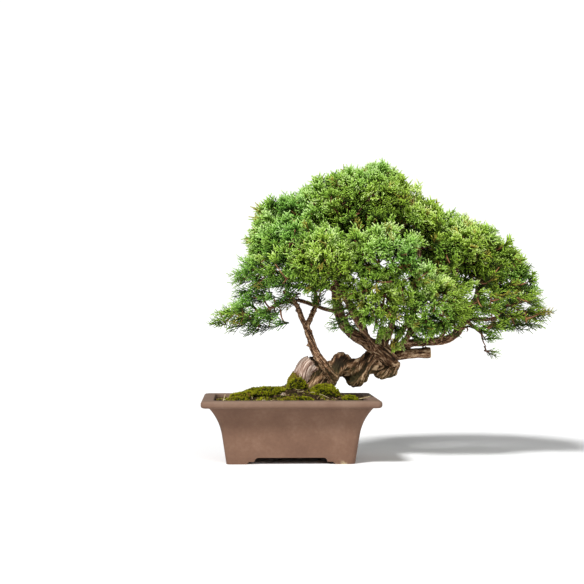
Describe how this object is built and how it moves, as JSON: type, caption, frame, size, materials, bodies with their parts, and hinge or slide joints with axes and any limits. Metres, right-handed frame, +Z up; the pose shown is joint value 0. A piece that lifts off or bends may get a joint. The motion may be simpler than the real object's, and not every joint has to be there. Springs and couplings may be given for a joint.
{
  "type": "potted bonsai tree",
  "caption": "Slanting juniper bonsai with a corkscrew trunk, dead-wood stump and cloud-like foliage pads, growing from mossy soil in a flared, footed rectangular clay pot.",
  "frame": {"origin": "on the ground under the middle of the whole tree and pot's bounding box", "axes": "+Z up; +X from the pot towards the crown's overhanging end; +Y away from the viewing side"},
  "size_m": [0.3932, 0.191, 0.342],
  "materials": {
    "clay": "unglazed fired clay, matt, with a paler worn rim",
    "soil": "damp granular bonsai soil",
    "bark": "fibrous flaking bark, with grey bare wood on the stump",
    "foliage": "dense scale foliage, satin",
    "moss": "soft moss, matt",
    "stone": "dull stone",
    "mesh_plastic": "black moulded mesh",
    "wire": "copper-coloured anodised aluminium"
  },
  "bodies": {
    "root": {"pot": "clay", "soil": "soil", "trunk_and_limbs": "bark", "drainage_screen_left": "mesh_plastic", "drainage_screen_right": "mesh_plastic", "screen_clip_left": "wire", "screen_clip_right": "wire", "moss_collar": "moss", "moss_front_right": "moss", "moss_front_left": "moss", "moss_left": "moss", "moss_far_left": "moss", "moss_back": "moss", "moss_back_left": "moss", "moss_right": "moss", "moss_front_edge": "moss", "pebble_pale": "stone", "pebble_brown": "stone", "pebble_grey": "stone", "pebble_small": "stone", "foliage_top": "foliage", "foliage_front_right": "foliage", "foliage_front_left": "foliage", "foliage_upper_left": "foliage", "foliage_upper_right": "foliage", "foliage_right_top": "foliage", "foliage_left": "foliage", "foliage_right": "foliage", "foliage_left_low": "foliage", "foliage_low_right": "foliage", "foliage_centre_low": "foliage", "foliage_right_low": "foliage", "foliage_back_left": "foliage", "foliage_back_right": "foliage", "foliage_back_top": "foliage", "foliage_low_reach": "foliage", "foliage_drooping_tip": "foliage"}
  },
  "joints": []
}
